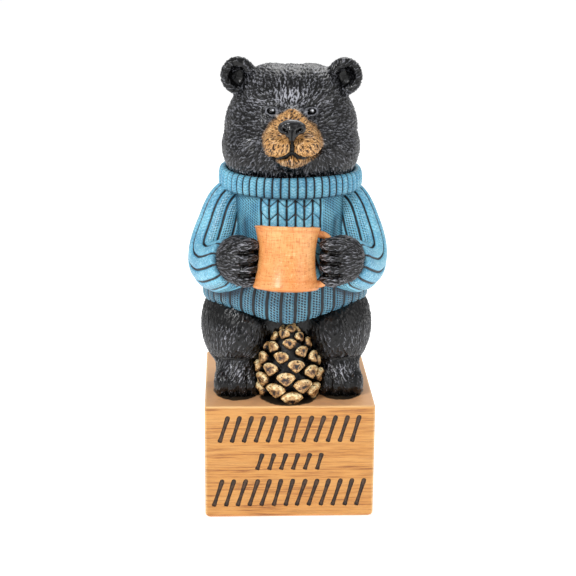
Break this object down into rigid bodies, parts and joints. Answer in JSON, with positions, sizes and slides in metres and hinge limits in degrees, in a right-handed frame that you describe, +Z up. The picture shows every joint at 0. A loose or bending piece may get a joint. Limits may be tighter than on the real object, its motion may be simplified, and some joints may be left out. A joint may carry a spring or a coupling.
{
  "type": "resin bear figurine",
  "caption": "Standing resin figurine of a sitting bear in a ribbed roll-neck sweater, holding a hollow mug, on a square block with a pine cone between its feet",
  "frame": {"origin": "middle of the block's underside", "axes": "+Z up, -Y towards the front of the bear, +X towards its left hand (right in a front view)"},
  "size_m": [0.1316, 0.1424, 0.3031],
  "materials": {
    "painted_resin": "hand-painted cast resin: near-black fur, sky blue sweater, peach mug, golden cone scales, wood-brown block"
  },
  "bodies": {
    "root": {"bear_figurine": "painted_resin"}
  },
  "joints": []
}
